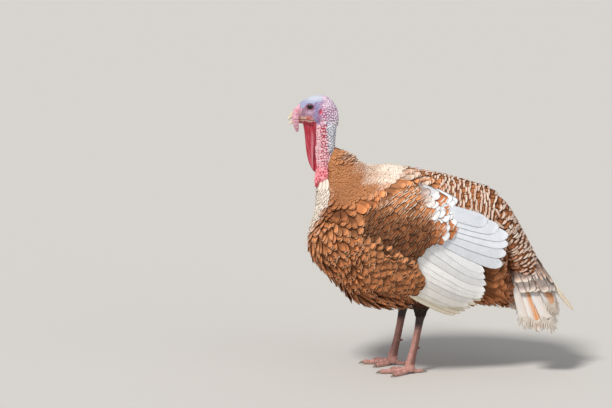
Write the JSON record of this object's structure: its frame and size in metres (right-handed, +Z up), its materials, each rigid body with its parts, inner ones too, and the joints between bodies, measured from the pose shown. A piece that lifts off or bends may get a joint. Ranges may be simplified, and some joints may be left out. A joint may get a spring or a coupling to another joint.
{
  "type": "domestic turkey",
  "caption": "Life-size still model of a standing tom turkey with bare head, wattle, folded wings and a hanging tail.",
  "frame": {"origin": "on the floor under the middle of the whole bird, with the soles at Z = 0", "axes": "+Z up, -X the way the bird faces, -Y its left side"},
  "size_m": [0.8335, 0.3828, 0.811],
  "materials": {
    "plumage": "soft rusty feathers",
    "flight_feathers": "white vanes with rusty coverts",
    "undertail": "fluffy rusty feathers",
    "bare_skin": "bumpy skin",
    "wattle_red": "folded shiny skin",
    "horn": "smooth horn",
    "leg_scale": "scaly skin",
    "claw_horn": "smooth horn",
    "eye_dark": "wet and glossy"
  },
  "bodies": {
    "root": {"torso": "plumage", "neck_feathered": "plumage", "neck_bare": "bare_skin", "head": "bare_skin", "bill_upper": "horn", "bill_lower": "horn", "eye_left": "eye_dark", "eye_right": "eye_dark", "snood": "bare_skin", "wattle": "wattle_red", "caruncles": "wattle_red", "wing_left": "flight_feathers", "wing_right": "flight_feathers", "tail": "flight_feathers", "undertail": "undertail", "thigh_left": "plumage", "thigh_right": "plumage", "shank_left": "leg_scale", "shank_right": "leg_scale", "foot_left": "leg_scale", "foot_right": "leg_scale", "claw_left_middle": "claw_horn", "claw_left_outer": "claw_horn", "claw_left_inner": "claw_horn", "claw_left_hind": "claw_horn", "claw_right_middle": "claw_horn", "claw_right_outer": "claw_horn", "claw_right_inner": "claw_horn", "claw_right_hind": "claw_horn"}
  },
  "joints": []
}
